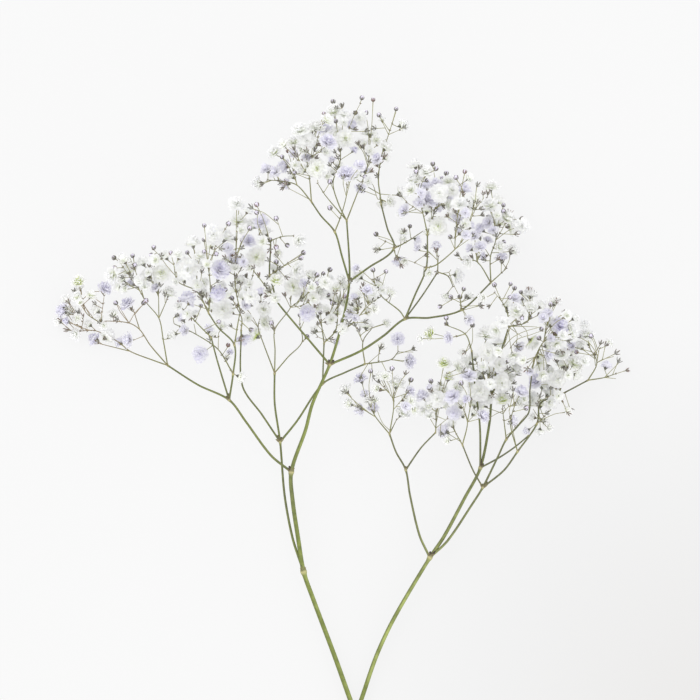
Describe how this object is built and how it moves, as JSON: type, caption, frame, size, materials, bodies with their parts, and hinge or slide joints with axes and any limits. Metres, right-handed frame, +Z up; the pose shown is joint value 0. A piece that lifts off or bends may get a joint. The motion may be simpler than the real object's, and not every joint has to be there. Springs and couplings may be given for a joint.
{
  "type": "gypsophila stem",
  "caption": "Cut stem of double gypsophila lying on its side: a forked green stem, fine twigs, layered white and lilac blooms, round buds and dry calyxes.",
  "frame": {"origin": "centre of the bounding box at the surface that the stem lies on", "axes": "+Y along the stem from the cut end to the tips, +X to the right seen from above, +Z up from the surface"},
  "size_m": [0.287, 0.3498, 0.0692],
  "materials": {
    "stem": "satin, with a pale stripe along it",
    "white_blooms": "matte translucent petals on green stalks",
    "lilac_blooms": "matte translucent petals on green stalks"
  },
  "bodies": {
    "root": {"stem": "stem", "spray_far_left_low": "white_blooms", "spray_far_left_mid": "white_blooms", "spray_left_thin": "white_blooms", "spray_left_bare": "lilac_blooms", "spray_left_upper": "white_blooms", "spray_left_crown": "white_blooms", "spray_left_inner": "white_blooms", "spray_left_low": "lilac_blooms", "spray_left_middle": "white_blooms", "spray_inner_low": "white_blooms", "spray_inner_bright": "white_blooms", "spray_inner_short": "white_blooms", "spray_crown_left": "white_blooms", "spray_crown_small": "white_blooms", "spray_crown_top": "white_blooms", "spray_middle_low": "white_blooms", "spray_middle_zigzag": "white_blooms", "spray_middle_up": "lilac_blooms", "spray_middle_right": "white_blooms", "spray_lower_right": "lilac_blooms", "spray_top_left": "white_blooms", "spray_top_high": "white_blooms", "spray_top_face": "white_blooms", "spray_top_middle": "white_blooms", "spray_top_near": "lilac_blooms", "spray_top_rest": "white_blooms", "spray_top_right": "white_blooms", "spray_right_low": "white_blooms", "spray_right_peak": "white_blooms", "spray_right_peak_low": "white_blooms", "spray_right_upper": "lilac_blooms", "spray_right_short": "lilac_blooms", "spray_right_bluish": "white_blooms", "spray_right_far": "white_blooms", "spray_right_far_low": "white_blooms", "spray_right_near": "lilac_blooms", "spray_right_buds": "lilac_blooms", "spray_middle_long": "white_blooms", "spray_centre_right": "white_blooms", "spray_low_left": "lilac_blooms", "spray_low_right": "white_blooms", "spray_low_short": "white_blooms", "spray_low_centre": "white_blooms", "spray_low_lilac": "lilac_blooms", "spray_low_tall": "lilac_blooms", "spray_cluster_left": "white_blooms", "spray_cluster_low": "white_blooms", "spray_cluster_side": "white_blooms", "spray_cluster_right": "lilac_blooms", "spray_edge_low": "white_blooms", "spray_edge_upper": "white_blooms", "spray_rise_left": "white_blooms", "spray_rise_right": "white_blooms", "spray_peak_right": "lilac_blooms", "spray_far_right_up": "white_blooms", "spray_far_right": "lilac_blooms"}
  },
  "joints": []
}
